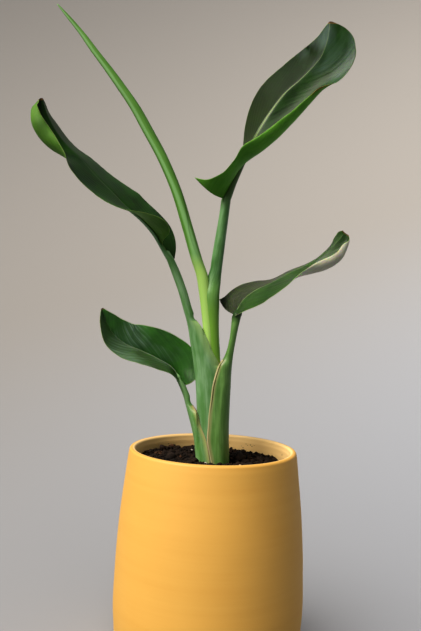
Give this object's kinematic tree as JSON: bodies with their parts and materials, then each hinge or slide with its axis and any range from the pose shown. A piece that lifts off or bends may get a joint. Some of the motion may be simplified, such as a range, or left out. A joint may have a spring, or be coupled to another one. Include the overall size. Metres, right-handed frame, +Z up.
{
  "type": "potted bird of paradise",
  "caption": "Young bird of paradise plant with broad curling leaves and a rolled spear leaf, rooted in soil in a tapered round pot.",
  "frame": {"origin": "middle of the pot's flat base", "axes": "+Z up, +X to the right seen from the front, -Y to the front"},
  "size_m": [0.2916, 0.176, 0.59],
  "materials": {
    "pot_glaze": "matte mustard, smooth fired clay",
    "potting_mix": "dark crumbly potting mix",
    "root": "pale fleshy root",
    "young_stalk": "smooth light green",
    "stalk": "smooth grey-green with a waxy bloom",
    "leaf": "glossy dark green, paler below"
  },
  "bodies": {
    "root": {"pot": "pot_glaze", "soil": "potting_mix", "rootstock": "root", "root_sliver_short": "root", "root_sliver_curved": "root", "spear_leaf": "young_stalk", "leaf_stalk_lower_left": "stalk", "leaf_stalk_lower_right": "stalk", "leaf_stalk_upper_left": "stalk", "leaf_stalk_upper_right": "stalk", "leaf_blade_lower_left": "leaf", "leaf_blade_lower_right": "leaf", "leaf_blade_upper_left": "leaf", "leaf_blade_upper_right": "leaf"}
  },
  "joints": []
}
